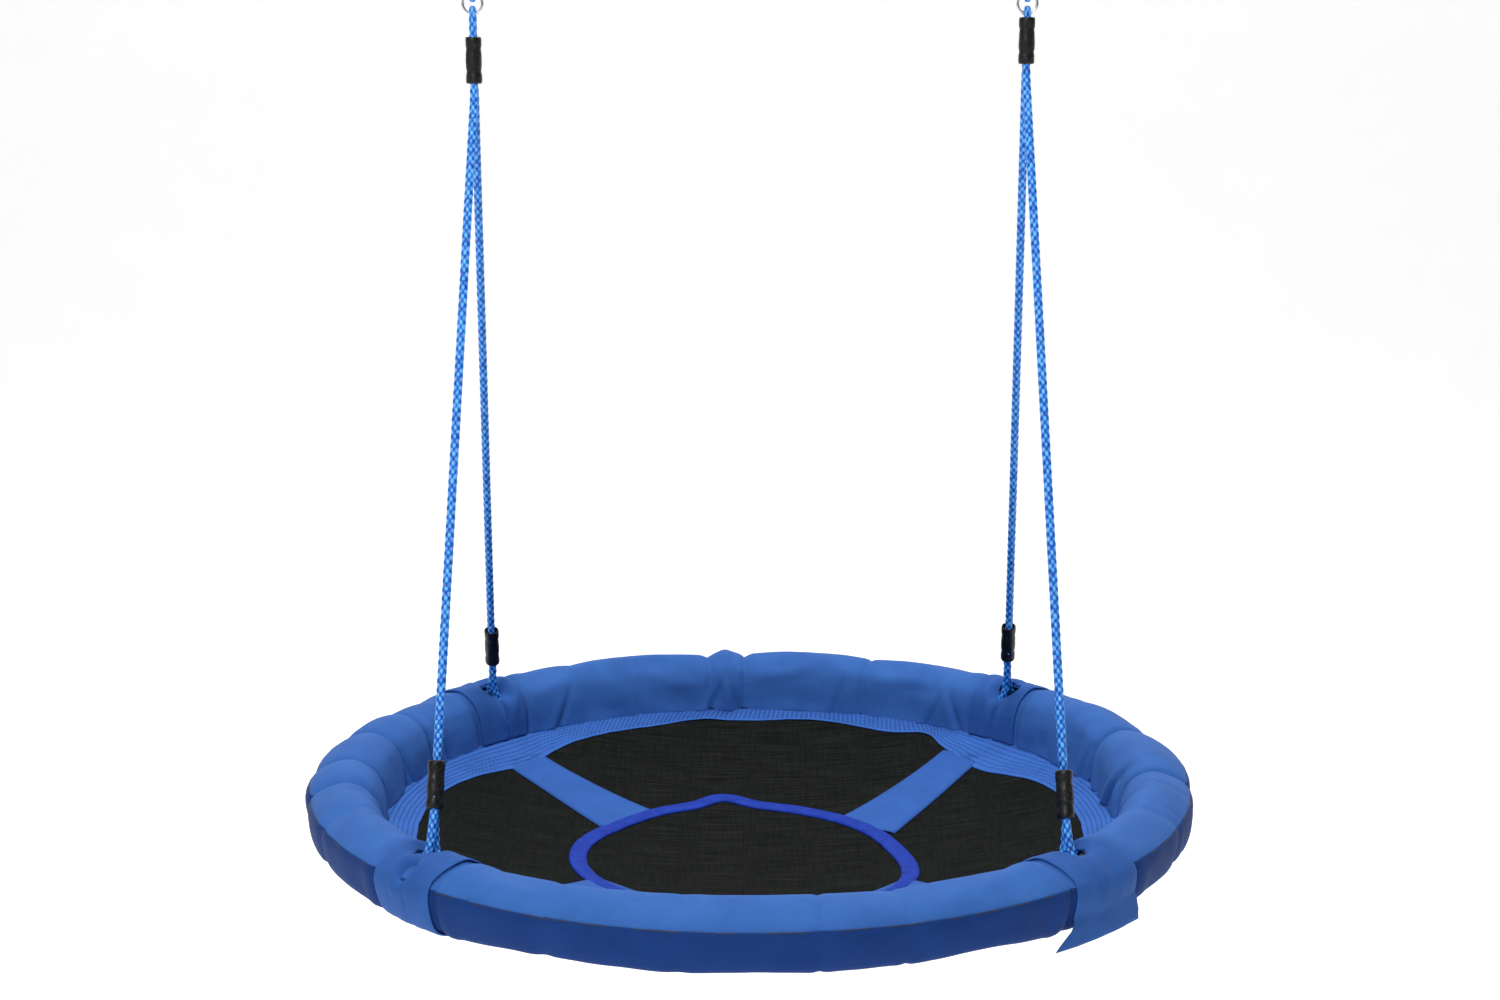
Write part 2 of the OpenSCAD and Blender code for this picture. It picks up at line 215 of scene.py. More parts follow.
class Shader:
    """A small helper that adds nodes to one material and links them."""

    def __init__(self, name, colour, roughness, **sockets):
        self.material = bpy.data.materials.new(name)
        self.material.use_nodes = True
        self.tree = self.material.node_tree
        self.surface = self.tree.nodes["Principled BSDF"]
        self.surface.inputs["Base Color"].default_value = (*colour, 1)
        self.surface.inputs["Roughness"].default_value = roughness
        for socket, value in sockets.items():
            self.surface.inputs[socket.replace("_", " ")].default_value = value

    def node(self, kind, **settings):
        node = self.tree.nodes.new(kind)
        for name, value in settings.items():
            setattr(node, name, value)
        return node

    def join(self, out, into):
        self.tree.links.new(out, into)

    def value(self, what, socket):
        """Puts a number or another node's output on a socket."""
        if isinstance(what, (int, float)):
            socket.default_value = what
        else:
            self.join(what, socket)

    def metres(self):
        return self.node("ShaderNodeUVMap", uv_map="metres").outputs["UV"]

    def place(self):
        return self.node("ShaderNodeTexCoord").outputs["Object"]

    def stretched(self, vector, scale):
        mapping = self.node("ShaderNodeMapping")
        mapping.inputs["Scale"].default_value = scale
        self.join(vector, mapping.inputs["Vector"])
        return mapping.outputs["Vector"]

    def noise(self, vector, scale, detail=3.0, rough=0.5):
        node = self.node("ShaderNodeTexNoise")
        node.inputs["Scale"].default_value = scale
        node.inputs["Detail"].default_value = detail
        node.inputs["Roughness"].default_value = rough
        self.join(vector, node.inputs["Vector"])
        return node.outputs["Fac"]

    def wave(self, vector, direction, period, distortion=0.0):
        node = self.node("ShaderNodeTexWave", bands_direction=direction)
        node.inputs["Scale"].default_value = 2 * math.pi / 20 / period
        node.inputs["Distortion"].default_value = distortion
        node.inputs["Detail"].default_value = 1.0
        self.join(vector, node.inputs["Vector"])
        return node.outputs["Fac"]

    def math(self, operation, a, b):
        node = self.node("ShaderNodeMath", operation=operation)
        self.value(a, node.inputs[0])
        self.value(b, node.inputs[1])
        return node.outputs[0]

    def ramp(self, fac, *stops):
        node = self.node("ShaderNodeValToRGB")
        while len(node.color_ramp.elements) < len(stops):
            node.color_ramp.elements.new(0.5)
        for element, (place, colour) in zip(node.color_ramp.elements, stops):
            element.position = place
            element.color = (*colour, 1) if len(colour) == 3 else colour
        self.join(fac, node.inputs["Fac"])
        return node.outputs["Color"]

    def tint(self, colour):
        self.join(colour, self.surface.inputs["Base Color"])

    def rough(self, fac, low, high):
        node = self.node("ShaderNodeMapRange")
        node.inputs["To Min"].default_value = low
        node.inputs["To Max"].default_value = high
        self.join(fac, node.inputs["Value"])
        self.join(node.outputs["Result"], self.surface.inputs["Roughness"])

    def bump(self, height, distance, strength=1.0, before=None):
        node = self.node("ShaderNodeBump")
        node.inputs["Distance"].default_value = distance
        node.inputs["Strength"].default_value = strength
        self.join(height, node.inputs["Height"])
        if before is not None:
            self.join(before, node.inputs["Normal"])
        self.join(node.outputs["Normal"], self.surface.inputs["Normal"])
        return node.outputs["Normal"]


def weave_height(shader, coordinates, thread):
    """Over-and-under threads of a plain weave, from two crossed waves."""
    warp = shader.wave(coordinates, "X", thread, 0.15)
    weft = shader.wave(coordinates, "Y", thread, 0.15)
    return shader.math("MAXIMUM", shader.math("MULTIPLY", warp, 0.9), weft)


def cloth(name, colour, light, thread=0.0011, roughness=0.62):
    """Coated oxford cloth: a fine plain weave, faint slubs and soft creases."""
    shader = Shader(name, colour, roughness, Sheen_Weight=0.02, Sheen_Roughness=0.45,
                    Specular_IOR_Level=0.07)
    uv = shader.metres()
    weave = weave_height(shader, uv, thread)
    mottle = shader.noise(uv, 22, 4.0, 0.55)
    slub = shader.noise(shader.stretched(uv, (60, 900, 1)), 1.0, 2.0)
    mixed = shader.math("ADD", shader.math("MULTIPLY", mottle, 0.75),
                        shader.math("MULTIPLY", slub, 0.25))
    shade = shader.math("ADD", shader.math("MULTIPLY", weave, 0.16), mixed)
    shader.tint(shader.ramp(shade, (0.3, tuple(c * 0.86 for c in colour)), (0.85, light)))
    shader.rough(mottle, roughness - 0.08, roughness + 0.1)
    soft = shader.bump(shader.noise(uv, 45, 4.0, 0.6), 0.0012, 0.5)
    shader.bump(weave, 0.00022, 0.7, soft)
    return shader.material


def rope_material():
    """Shiny braided polypropylene whose strands carry fine fibres. Painted shade darkens the gaps between the
    strands, and painted highlights put pale cyan glints on the strands.
    """
    shader = Shader("rope_blue", (0.01, 0.15, 0.66), 0.3, Specular_IOR_Level=0.45)
    # The strand height from the mesh drives painted shade in the gaps between the strands.
    depth = shader.node("ShaderNodeAttribute", attribute_name="height").outputs["Fac"]
    uv = shader.metres()
    fibre = shader.noise(shader.stretched(uv, (220, 3400, 1)), 1.0, 3.0, 0.6)
    # Large noise scatters the painted glints in patches.
    patch = shader.noise(shader.place(), 160, 2.0)
    shade = shader.math("ADD", depth, shader.math("MULTIPLY", shader.math("SUBTRACT", fibre, 0.5), 0.5))
    shade = shader.math("ADD", shade, shader.math("MULTIPLY", shader.math("SUBTRACT", patch, 0.5), 0.8))
    # The ramp's dark low end is painted shade in the strand gaps; its pale cyan top end is painted highlight.
    shader.tint(shader.ramp(shade, (0.15, (0.001, 0.014, 0.12)), (0.5, (0.004, 0.08, 0.48)),
                            (0.74, (0.012, 0.19, 0.76)), (0.93, (0.13, 0.5, 0.96))))
    shader.rough(fibre, 0.2, 0.4)
    shader.bump(fibre, 0.0003, 0.6)
    return shader.material


def mat_material():
    """Black coarse-woven mesh, with a few slubbed threads that catch the light."""
    shader = Shader("mat_black", (0.01, 0.011, 0.01), 0.85, Specular_IOR_Level=0.04)
    place = shader.place()
    weave = weave_height(shader, place, 0.0019)
    slub_x = shader.noise(shader.stretched(place, (14, 420, 1)), 1.0, 3.0, 0.7)
    slub_y = shader.noise(shader.stretched(place, (420, 18, 1)), 1.0, 3.0, 0.7)
    threads = shader.math("ADD", shader.math("MULTIPLY", slub_x, 0.7), shader.math("MULTIPLY", slub_y, 0.3))
    shade = shader.math("ADD", threads, shader.math("MULTIPLY", weave, 0.12))
    shader.tint(shader.ramp(shade, (0.42, (0.0035, 0.004, 0.0037)), (0.56, (0.0075, 0.0085, 0.0078)),
                            (0.72, (0.02, 0.022, 0.019))))
    soft = shader.bump(threads, 0.0009, 0.7)
    shader.bump(weave, 0.0005, 0.8, soft)
    return shader.material


def tape_material():
    """Satin webbing with fine ribs along its length."""
    shader = Shader("tape_blue", (0.028, 0.055, 0.62), 0.5, Specular_IOR_Level=0.08)
    uv = shader.metres()
    ribs = shader.wave(uv, "Y", 0.0012, 0.2)
    cross = shader.wave(uv, "X", 0.0016, 0.3)
    mottle = shader.noise(uv, 60, 3.0)
    shader.tint(shader.ramp(mottle, (0.35, (0.008, 0.034, 0.32)), (0.7, (0.014, 0.052, 0.43))))
    soft = shader.bump(ribs, 0.0003, 0.7)
    shader.bump(cross, 0.0002, 0.6, soft)
    return shader.material


def sleeve_material():
    """Black shrink sleeve: semi-gloss, scuffed and slightly wrinkled."""
    shader = Shader("sleeve_black", (0.005, 0.005, 0.006), 0.25, Specular_IOR_Level=0.34)
    place = shader.place()
    scuff = shader.noise(place, 260, 4.0, 0.65)
    shader.tint(shader.ramp(scuff, (0.5, (0.003, 0.003, 0.004)), (0.8, (0.022, 0.023, 0.026))))
    shader.rough(scuff, 0.22, 0.55)
    soft = shader.bump(shader.noise(place, 130, 3.0), 0.0012, 0.6)
    shader.bump(scuff, 0.0003, 0.5, soft)
    return shader.material


def steel_material(name, colour, roughness, grain=350.0):
    shader = Shader(name, colour, roughness, Metallic=1.0)
    place = shader.place()
    marks = shader.noise(place, grain, 4.0, 0.6)
    shader.tint(shader.ramp(marks, (0.3, tuple(c * 0.85 for c in colour)), (0.7, colour)))
    shader.rough(marks, roughness * 0.7, roughness * 1.5)
    shader.bump(marks, 0.00005, 0.4)
    return shader.material


def dull_material(name, colour, roughness, grain, depth):
    """Foam, hose, powder coat or hook tape: one colour family with a grain."""
    shader = Shader(name, colour, roughness)
    place = shader.place()
    marks = shader.noise(place, grain, 4.0, 0.6)
    shader.tint(shader.ramp(marks, (0.3, tuple(c * 0.7 for c in colour)),
                            (0.7, tuple(min(1, c * 1.3) for c in colour))))
    shader.rough(marks, roughness - 0.12, roughness + 0.12)
    shader.bump(marks, depth, 0.7)
    return shader.material


def floor_material():
    shader = Shader("floor_white", (0.94, 0.94, 0.94), 0.9, Emission_Strength=0.47)
    shader.surface.inputs["Emission Color"].default_value = (1, 1, 1, 1)
    marks = shader.noise(shader.place(), 6, 2.0)
    shader.tint(shader.ramp(marks, (0.3, (0.93, 0.93, 0.93)), (0.7, (0.95, 0.95, 0.95))))
    return shader.material


COVER = (0.033, 0.118, 0.41)
COVER_LIGHT = (0.045, 0.15, 0.47)
MATERIALS = {
    "cover_blue": cloth("cover_cloth", COVER, COVER_LIGHT),
    # The side panel gets a darker copy of the cover cloth: painted shade for the rim's side.
    "cover_side_blue": cloth("cover_side_cloth", (0.007, 0.036, 0.175), (0.01, 0.046, 0.205)),
    "border_blue": cloth("border_cloth", (0.036, 0.13, 0.47), (0.05, 0.165, 0.56)),
    "web_blue": cloth("web_cloth", (0.028, 0.105, 0.4), (0.038, 0.13, 0.46)),
    # The wraps get a darker copy of the cover cloth: painted shade.
    "wrap_blue": cloth("wrap_cloth_painted_shade", (0.024, 0.092, 0.34), (0.033, 0.118, 0.4)),
    "mat_black": mat_material(),
    "tape_blue": tape_material(),
    "rope": rope_material(),
    "crimp_sleeve": sleeve_material(),
    "ring_steel": steel_material("ring_steel", (0.78, 0.79, 0.81), 0.16),
    "thimble_steel": steel_material("thimble_steel", (0.6, 0.61, 0.62), 0.33),
    "screw_steel": steel_material("screw_steel", (0.6, 0.6, 0.6), 0.35),
    "hoop_steel": dull_material("hoop_black", (0.045, 0.047, 0.05), 0.45, 500, 0.0001),
    "foam": dull_material("foam_grey", (0.5, 0.52, 0.55), 0.85, 240, 0.0008),
    "hose": dull_material("hose_black", (0.014, 0.014, 0.015), 0.5, 300, 0.0002),
    # The seam thread's near-black navy is painted shade for the seam's groove.
    "seam": dull_material("seam_thread_painted_shade", (0.003, 0.012, 0.06), 0.6, 700, 0.0003),
    "stitch": dull_material("stitch_thread", (0.016, 0.07, 0.3), 0.5, 900, 0.0002),
    "hook_tape": dull_material("hook_tape_black", (0.016, 0.016, 0.018), 0.8, 900, 0.0006),
}


def paint_cad_nodes():
    slots = {s["node"]: s["material_slot"] for s in frame["record"]["subparts"]}
    for node, piece in frame["nodes"].items():
        piece.data.materials.clear()
        piece.data.materials.append(MATERIALS[slots[node]])


def finish_piece(piece, body, slot, *nodes):
    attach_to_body(piece, body)
    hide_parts(*nodes)
    return piece


# ---------------------------------------------------------------- ropes

ROPE_D = 10 * MM
ROPE_R = ROPE_D / 2
BRAID_STRANDS = 4
BRAID_CELL = 9.6 * MM
BRAID_FINE = 6
STRAND = 4.2 * MM
PINCHED_R = 4.1 * MM
LOOPED_R = 3.7 * MM
LOOP_R = 20.5 * MM
TURN_R = 6 * MM
RING_WIRE_CIRCLE = 10.5 * MM
SLEEVE_L = 50 * MM
SLEEVE_UP = {(LEFT, FRONT): 75 * MM, (LEFT, BACK): 73 * MM,
             (RIGHT, FRONT): 65 * MM, (RIGHT, BACK): 79 * MM}
TOP_SLEEVE_DROP = {LEFT: 85 * MM, RIGHT: 64 * MM}
HANGING_SLEEVE_Z = -95 * MM
GROOVE_R = 20.5 * MM


def attach(side, end):
    return np.array([side * ATTACH_X, end * ATTACH_Y, TUBE_Z])


def ring_at(side):
    return np.array([side * EYE_X, 0, RING_Z])


def up_rope(side, end):
    return unit(ring_at(side) - attach(side, end))


def out_rope(side, end):
    up = up_rope(side, end)
    radial = unit(attach(side, end) * np.array([1, 1, 0]))
    return unit(radial - radial.dot(up) * up)


def arc(centre, u, v, radius, start, stop, count):
    angles = np.radians(np.linspace(start, stop, count))
    return [centre + radius * (math.cos(a) * u + math.sin(a) * v) for a in angles]


def with_r(points, radius):
    return [np.r_[p, radius] for p in points]


def lower_eye(side, end):
    """The rope's end: from its tail in the sleeve, round the hoop and up through the sleeve."""
    centre, up, out = attach(side, end), up_rope(side, end), out_rope(side, end)
    start = SLEEVE_UP[side, end]
    depth = np.array([0, end, 0])
    behind = unit(depth - depth.dot(up) * up)

    def at(height, across, turned=0.0):
        """A place beside the rope's line. The strands lie one behind the other at the sleeve (0), and
        have turned to straddle the hoop at its own height (1)."""
        return centre + height * up + across * unit((1 - turned) * behind + turned * out)

    def leg(sign):
        return (with_r([at(start, sign * STRAND)], PINCHED_R)
                + with_r([at(start - 8 * MM, sign * 4.9 * MM)], ROPE_R * 0.95)
                + with_r([at(start - 20 * MM, sign * 5.1 * MM, 0.15)], ROPE_R)
                + with_r([at(35 * MM, sign * 6 * MM, 0.45), at(25 * MM, sign * 8.5 * MM, 0.8),
                          at(14 * MM, sign * 13.5 * MM, 1)], ROPE_R * 0.97))

    return (with_r([at(start + SLEEVE_L - 4 * MM, STRAND)], PINCHED_R) + leg(1)
            + with_r(arc(centre, out, up, LOOP_R, 8, -188, 30), ROPE_R * 0.96)
            + leg(-1)[::-1]
            + with_r([at(start + SLEEVE_L, -STRAND)], PINCHED_R)
            + with_r([at(start + SLEEVE_L + 9 * MM, -STRAND)], ROPE_R))


def ring_turn(side):
    centre = ring_at(side)
    foot = -TOP_SLEEVE_DROP[side]
    head = foot + SLEEVE_L
    wire = centre - np.array([0, 0, RING_WIRE_CIRCLE])

    def at(across, height):
        return centre + np.array([0, across, height])

    def half(sign):
        return (with_r([at(sign * (STRAND + 0.6 * MM), foot - 16 * MM)], ROPE_R * 0.96)
                + with_r([at(sign * STRAND, foot), at(sign * STRAND, head)], PINCHED_R))

    turn = arc(wire, np.array([0, 1, 0]), np.array([0, 0, 1]), TURN_R, 180, 0, 16)
    return half(-1) + with_r(turn, LOOPED_R) + half(1)[::-1]


def sling_route(side):
    return lower_eye(side, FRONT) + ring_turn(side) + lower_eye(side, BACK)[::-1]


def hanging_route(side):
    eye = np.array([side * EYE_X, 0, 0])
    y, z = np.array([0, 1, 0]), np.array([0, 0, 1])
    foot, head = HANGING_SLEEVE_Z, HANGING_SLEEVE_Z + SLEEVE_L
    a = math.degrees(math.atan2(-head, STRAND) - math.acos(GROOVE_R / math.hypot(STRAND, head)))
    wire = ring_at(side) + RING_WIRE_CIRCLE * z
    meet = (foot + head) / 2
    return (with_r([eye + STRAND * y + (meet + MM) * z, eye + STRAND * y + head * z], PINCHED_R)
            + with_r(arc(eye, y, z, GROOVE_R, -a, 180 + a, 40), ROPE_R * 0.97)
            + with_r([eye - STRAND * y + head * z, eye - STRAND * y + foot * z], PINCHED_R)
            + with_r(arc(wire, y, z, TURN_R, 180, 360, 16), LOOPED_R)
            + with_r([eye + STRAND * y + foot * z, eye + STRAND * y + (meet - MM) * z], PINCHED_R))


def braid_height(a, b):
    """How far the outer strand stands over the braid's middle, from 0 in the gaps to 1 on the strands.
    a and b count strands that climb one way and the other round the rope."""
    def strand(across, along):
        crown = np.sqrt(np.clip(1 - (2 * (across % 1) - 1) ** 2, 0, 1))
        lift = np.cos(np.pi * (along - 0.5)) * np.where(np.floor(across) % 2 == 0, 1, -1)
        return crown, lift
    crown_a, lift_a = strand(a, b)
    crown_b, lift_b = strand(b, a)
    return np.clip(np.maximum(crown_a * 0.6 + lift_a * 0.4, crown_b * 0.6 - lift_b * 0.4), 0, 1)


def braided_rope(name, route, relief=1.5 * MM):
    """A rope whose surface is an eight-strand braid. Its faces are diamonds that follow the strands."""
    step = BRAID_CELL / (2 * BRAID_FINE)
    line = resampled(smoothed(resampled(route, step), 3), step)
    centre, radius = line[:, :3], line[:, 3]
    heading = np.gradient(centre, axis=0)
    heading /= np.linalg.norm(heading, axis=1)[:, None]
    side = np.cross(heading, [1, 0, 0])
    side /= np.linalg.norm(side, axis=1)[:, None]
    other = np.cross(heading, side)
    rows, around = len(line), BRAID_STRANDS * BRAID_FINE
    row = np.arange(rows)[:, None]
    turn = (2 * np.arange(around)[None, :] + row % 2) * math.pi / around
    a = turn * BRAID_STRANDS / (2 * math.pi) + row / (2 * BRAID_FINE)
    b = turn * BRAID_STRANDS / (2 * math.pi) - row / (2 * BRAID_FINE)
    height = braid_height(a + 1e-4, b + 1e-4)
    reach = radius[:, None] - relief * (1 - height) * (radius[:, None] / ROPE_R)
    points = (centre[:, None, :] + reach[..., None]
              * (np.cos(turn)[..., None] * side[:, None, :] + np.sin(turn)[..., None] * other[:, None, :]))
    points = points.reshape(-1, 3)
    faces = []
    for m in range(1, rows - 1):
        for q in range(around):
            # one diamond: the point behind, the two beside it, and the one ahead
            beside = (q + 1) % around
            tip = q if m % 2 == 0 else beside
            faces.append((m * around + q, (m + 1) * around + tip, m * around + beside,
                          (m - 1) * around + tip))
    faces.append(tuple(range(around)))
    faces.append(tuple(range((rows - 1) * around, rows * around))[::-1])
    piece = mesh_from(name, points, faces, material=MATERIALS["rope"])
    # The strand heights also feed the rope material's painted shade in the gaps and painted highlights on the
    # crowns.
    attribute = piece.data.attributes.new("height", "FLOAT", "POINT")
    attribute.data.foreach_set("value", height.ravel().astype(np.float32))
    uvs = np.stack([row * step + 0 * turn, turn * ROPE_R], -1).reshape(-1, 2)
    layer = piece.data.uv_layers.new(name="metres")
    index = np.empty(len(piece.data.loops), np.int32)
    piece.data.loops.foreach_get("vertex_index", index)
    layer.data.foreach_set("uv", uvs[index].astype(np.float32).ravel())
    return piece, centre[::6]


def crimp_sleeve(name, foot, up, out, seed, radius=9.3 * MM, bore=8.0 * MM):
    """A shrink sleeve with soft ends, that shows the crimps and the two strands inside it."""
    rise = [0.0, 0.6, 2.2, 5, 9, 13, 17, 21, 25, 29, 33, 37, 41, 45, 47.8, 49.4, 50.0]
    inset = [1.3, 0.35, 0, 0, 0.1, 0.9, 0.1, 0, 0, 0.15, 0.2, 0.9, 0.1, 0, 0, 0.35, 1.3]
    around = 40
    across = np.cross(up, out)
    rows = []
    for height, dent in zip(rise, inset):
        ring = []
        for k in range(around):
            angle = 2 * math.pi * k / around
            crease = noise.noise(Vector((math.cos(angle) * 1.6, math.sin(angle) * 1.6, height / 9 + seed)))
            flat = 0.25 * MM * math.cos(2 * angle)
            r = radius - dent * MM + 0.35 * MM * crease + flat - 0.3 * MM
            ring.append(foot + height * MM * up + r * (math.cos(angle) * out + math.sin(angle) * across))
        rows.append(ring)
    for height in (50.0 - 1.5, 25.0, 1.5):
        rows.append([foot + height * MM * up + bore * (math.cos(a) * out + math.sin(a) * across)
                     for a in np.arange(around) * 2 * math.pi / around])
    points = np.array(rows).reshape(-1, 3)
    faces = grid_faces(len(rows), around, wrap_rows=True, wrap_columns=True)
    return mesh_from(name, points, faces, material=MATERIALS["crimp_sleeve"])


def make_ropes():
    vertical = np.array([0, 0, 1.0])
    depth = np.array([0, 1.0, 0])
    for side in (LEFT, RIGHT):
        word = SIDE_NAMES[side]
        body = f"{word}_sling"
        top = crimp_sleeve(f"{word}_top_sleeve_shrunk", ring_at(side) - TOP_SLEEVE_DROP[side] * vertical,
                           vertical, depth, 3 + side)
        finish_piece(top, body, "crimp_sleeve", f"{word}_top_sleeve")
        for end in (FRONT, BACK):
            node = f"{word}_{END_NAMES[end]}_sleeve"
            up, out = up_rope(side, end), out_rope(side, end)
            foot = attach(side, end) + SLEEVE_UP[side, end] * up
            lower = crimp_sleeve(node + "_shrunk", foot, up, out, 11 + 3 * side + end)
            finish_piece(lower, body, "crimp_sleeve", node)
        rope, path = braided_rope(f"{word}_rope_braid", sling_route(side))
        finish_piece(rope, body, "rope", f"{word}_rope")
        hanging, path = braided_rope(f"{word}_hanging_rope_braid", hanging_route(side))
        finish_piece(hanging, "hanging_ropes", "rope", f"{word}_hanging_rope")
        foot = np.array([side * EYE_X, 0, HANGING_SLEEVE_Z])
        upper = crimp_sleeve(f"{word}_hanging_sleeve_shrunk", foot, vertical, depth, 21 + side)
        finish_piece(upper, "hanging_ropes", "crimp_sleeve", f"{word}_hanging_sleeve")


# ---------------------------------------------------------------- padded rim

OVER_TOP = [(-80, -48), (-79, -37), (-78, -24), (-75, -10), (-68, 4), (-54, 14), (-40, 17), (-20, 12), (0, 0)]
ROUND_SIDE = [(0, 0), (0.5, -14), (-2, -30), (-9, -43), (-28, -49), (-54, -50), (-80, -48)]
# angle, depth and half-width of each place where the padded cover is drawn in
PINCHES = [(91, 3.5, 0.8), (94, -4.0, 1.2), (97, 3.0, 0.9), (70, 2.5, 0.6), (29, 1.5, 1.0),
           (15, 6.5, 0.55), (355, 6.5, 0.55), (348, 1.5, 0.8), (337, 2.0, 1.0), (288, 1.5, 0.5),
           (278, 1.5, 0.5), (262, 1.0, 1.0), (246, 1.5, 1.0), (203, 2.0, 1.0), (190, 3.0, 0.7),
           (180, 3.0, 0.7), (167, 2.5, 0.9), (157, 5.0, 0.6), (150, 1.5, 1.0), (120, 1.0, 1.0)]
# lengths of the rim that bulge out: from, to and how far
LOBES = [(340, 355, 4), (355, 375, 7), (375, 392, 6), (157, 167, 4), (167, 180, 5), (180, 190, 4),
         (190, 204, 3)]
# creases that rise from the rim's inner foot: angle, lean, depth and half-width
FOOT_FOLDS = [(182, -2, 3.5, 0.7), (188, 3.5, 5, 0.8), (194, -3, 4, 0.7), (201, 3, 2.5, 0.7),
              (350, -3, 4, 0.7), (356, 3, 4, 0.7), (3, -3.5, 5.5, 0.8), (10, 2, 4, 0.7), (18, -2, 2, 0.6),
              (126, -3, 3, 0.7), (152, 2, 3, 0.6), (165, 2, 2, 0.6), (50, 3, 3, 0.7), (57, -3, 2, 0.6),
              (92, 2, 3, 0.6), (97, -2.5, 3, 0.6), (110, 2, 1.5, 0.6), (75, -2, 1.5, 0.6)]
FOAM_DEPTH = 9 * MM
COLUMNS = 1080
TOP_STEPS = 5
SIDE_STEPS = 4


def outline(points, steps):
    """Points of a stretch of the rim's outline, their outward normals and the distance along it."""
    line = spline(np.array(points, float) * MM, steps)
    run = np.gradient(line, axis=0)
    run /= np.linalg.norm(run, axis=1)[:, None]
    normal = np.stack([-run[:, 1], run[:, 0]], 1)
    along = np.r_[0, np.cumsum(np.linalg.norm(np.diff(line, axis=0), axis=1))]
    return line, normal, along


def gap(angle, other):
    """Degrees from one angle to another, between -180 and 180."""
    return (angle - other + 180) % 360 - 180


# where the cover opens for a rope: how far up the rope its middle is, its half-width round the rim,
# its half-width across the rim, and how far in the cloth is cut away
MOUTH_HEIGHT = 34 * MM
MOUTH_ACROSS = 18 * MM
MOUTH_OUTWARDS = 22 * MM
MOUTH_EDGE = 0.6


def from_mouths(line, angle):
    """For each rope, how far outwards from its opening's middle and how far round the rim a point is."""
    phi = np.radians(angle)
    radius = RIM_R + line[:, 0][:, None]
    x, y = radius * np.cos(phi), radius * np.sin(phi)
    for side, end in ROPE_ANGLES:
        mouth = attach(side, end) + MOUTH_HEIGHT * up_rope(side, end)
        out = unit(mouth * np.array([1, 1, 0]))
        dx, dy = x - mouth[0], y - mouth[1]
        yield dx * out[0] + dy * out[1] - 3 * MM, dy * out[0] - dx * out[1]


def rope_mouths(line, angle):
    """How far into a rope's opening a point is: 0 outside and 1 in its middle."""
    top = line[:, 1][:, None] > -26 * MM
    inside = 0
    for outwards, across in from_mouths(line, angle):
        away = np.hypot(across / MOUTH_ACROSS, outwards / MOUTH_OUTWARDS)
        inside = np.maximum(inside, np.clip(1.35 - away, 0, 1) * top)
    return inside


def rope_slits(line, angle):
    """The short slit that runs down the inner face from each opening: 1 along its middle."""
    deepest = 0
    for outwards, across in from_mouths(line, angle):
        along = np.clip((outwards + 44 * MM) / (8 * MM), 0, 1) * np.clip(-outwards / (8 * MM), 0, 1)
        deepest = np.maximum(deepest, along * np.exp(-(across / (2.6 * MM)) ** 2))
    return deepest


# each wrap: its first and last angle at its inner edge, middle and hem, and whether it hangs free
WRAP_PLACES = np.array([0, 120, 196]) * MM
WRAPS = {
    "wrap_back_right": ([38, 38, 39], [48, 48, 47], False),
    "wrap_back_left": ([133, 133, 133], [143, 144, 144], False),
    "wrap_front_left": ([219, 220, 221], [233, 230, 231], False),
    "wrap_front_right": ([308, 311, 310], [321, 322, 323], True),
}
# dimples pulled into a wrap: angle, place along it, depth
WRAP_DIMPLES = {"wrap_front_left": (225, 118, 6), "wrap_front_right": (318, 128, 1),
                "wrap_back_left": (135.5, 64, 3), "wrap_back_right": (44, 64, 3)}


